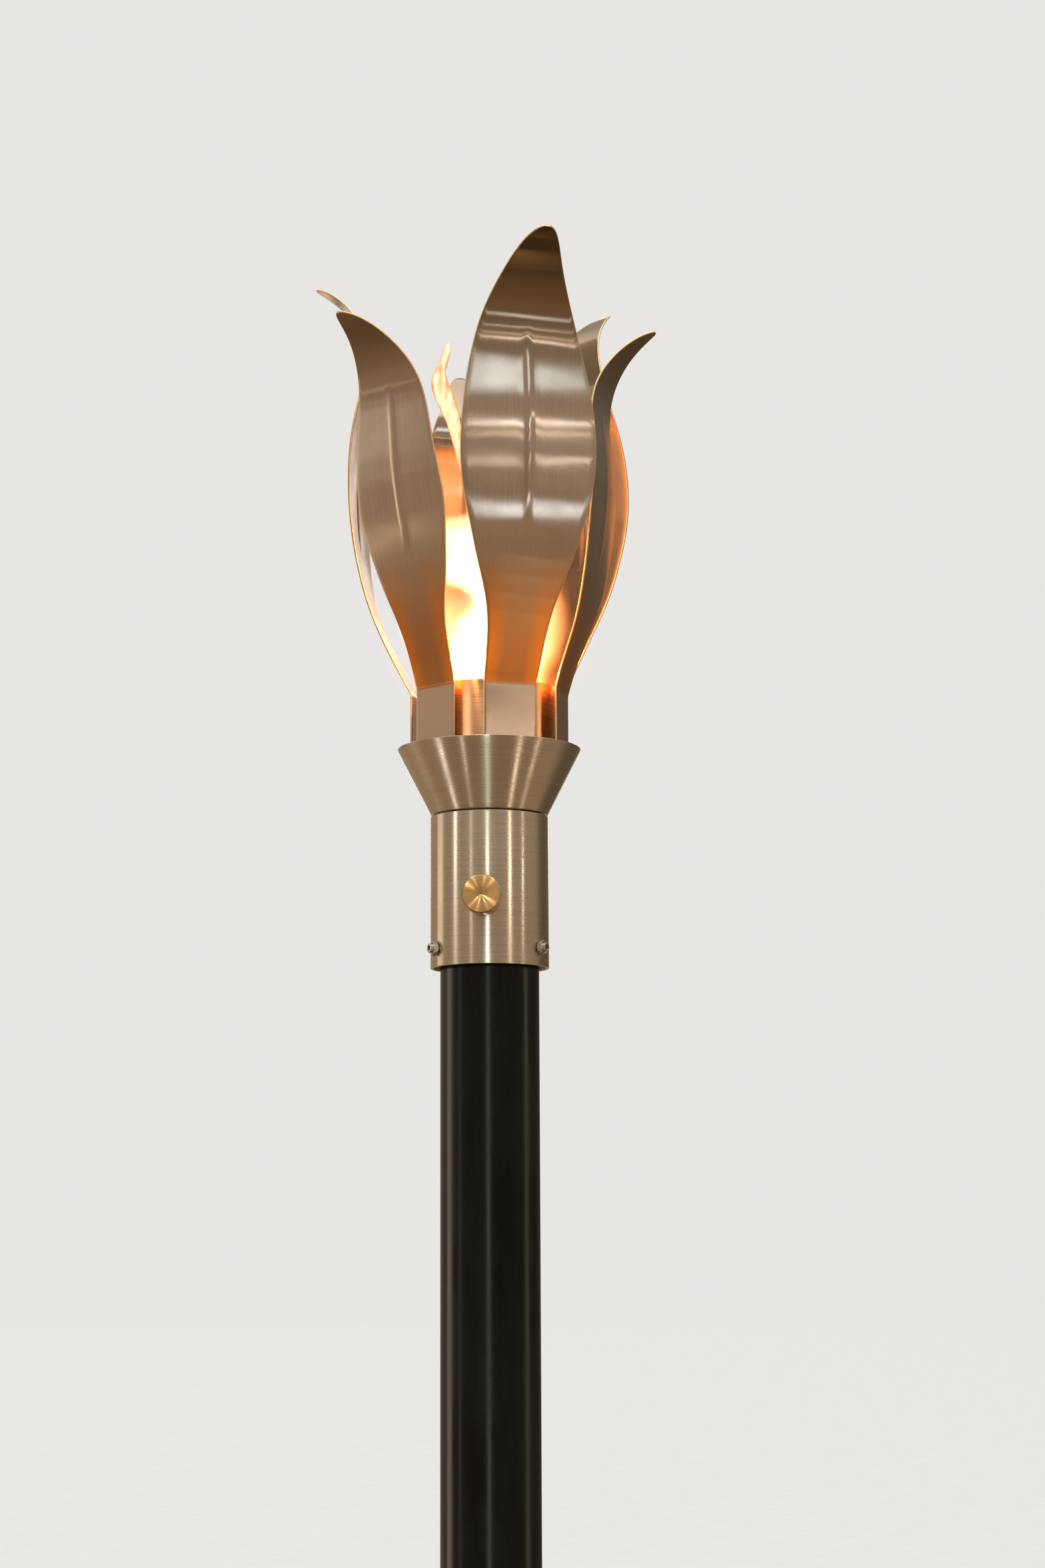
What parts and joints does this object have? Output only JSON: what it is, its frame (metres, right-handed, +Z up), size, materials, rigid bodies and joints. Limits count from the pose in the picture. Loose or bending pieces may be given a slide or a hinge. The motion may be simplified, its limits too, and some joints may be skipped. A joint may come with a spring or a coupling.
{
  "type": "gas garden torch",
  "caption": "Floor-standing gas garden torch: bent steel petals round a burner cup on a flared collar, a valve sleeve with a brass knob and a round black post.",
  "frame": {"origin": "centre of the base plate's underside, on the post's axis", "axes": "+Z up along the post, -Y the way the valve knob faces, +X to the right seen from the knob side"},
  "size_m": [0.28, 0.28, 2.2627],
  "materials": {
    "black_coat": "glossy black powder coat",
    "brass": "turned, satin",
    "knob_brass": "turned face with fine concentric lines",
    "zinc_steel": "zinc plated, dull",
    "screw_steel": "plain stainless, semi-bright",
    "sleeve_steel": "brushed round the axis",
    "cup_steel": "brushed round the axis, heat tinted",
    "petal_steel": "brushed along the petal, lightly heat tinted"
  },
  "bodies": {
    "stand": {"base_plate": "black_coat", "post": "black_coat", "post_weld": "black_coat", "inlet_fitting": "brass", "riser_lower_nut": "brass", "gas_riser": "zinc_steel", "riser_upper_nut": "brass"},
    "head": {"valve_body": "brass", "valve_bonnet": "brass", "bonnet_nut": "brass", "gas_orifice": "brass", "venturi_mixer": "brass", "seat_disc": "zinc_steel", "mixer_lower_nut": "zinc_steel", "cup_spacer": "zinc_steel", "mixer_upper_nut": "zinc_steel", "set_screw_nut_1": "screw_steel", "set_screw_nut_2": "screw_steel", "set_screw_nut_3": "screw_steel", "petal_rivet_1": "screw_steel", "petal_rivet_2": "screw_steel", "petal_rivet_3": "screw_steel", "petal_rivet_4": "screw_steel", "petal_rivet_5": "screw_steel", "petal_rivet_6": "screw_steel", "valve_sleeve": "sleeve_steel", "head_plate": "sleeve_steel", "flared_collar": "sleeve_steel", "burner_cup": "cup_steel", "burner_head": "cup_steel", "petal_ring": "cup_steel", "petal_1": "petal_steel", "petal_2": "petal_steel", "petal_3": "petal_steel", "petal_4": "petal_steel", "petal_5": "petal_steel", "petal_6": "petal_steel"},
    "valve_rotor": {"control_knob": "knob_brass", "knob_screw": "screw_steel", "valve_stem": "brass", "valve_plug": "brass"},
    "air_shutter": {"air_shutter": "zinc_steel"},
    "set_screw_1": {"set_screw_1": "screw_steel"},
    "set_screw_2": {"set_screw_2": "screw_steel"},
    "set_screw_3": {"set_screw_3": "screw_steel"}
  },
  "joints": [
    {"name": "head_swivel", "type": "hinge", "parent": "stand", "child": "head", "pos_m": [0, 0, 1.829], "axis": [0, 0, 1], "range_deg": [-180, 180]},
    {"name": "valve_turn", "type": "hinge", "parent": "head", "child": "valve_rotor", "pos_m": [0, 0, 1.8455], "axis": [0, -1, 0], "range_deg": [-90, 0]},
    {"name": "air_shutter_turn", "type": "hinge", "parent": "head", "child": "air_shutter", "pos_m": [0, 0, 1.873], "axis": [0, 0, 1], "range_deg": [0, 45]},
    {"name": "set_screw_1_travel", "type": "slide", "parent": "head", "child": "set_screw_1", "axis": [0.891, -0.454, 0], "range_m": [0, 0.003]},
    {"name": "set_screw_2_travel", "type": "slide", "parent": "head", "child": "set_screw_2", "axis": [-0.0523, 0.9986, 0], "range_m": [0, 0.003]},
    {"name": "set_screw_3_travel", "type": "slide", "parent": "head", "child": "set_screw_3", "axis": [-0.8387, -0.5446, 0], "range_m": [0, 0.003]}
  ]
}
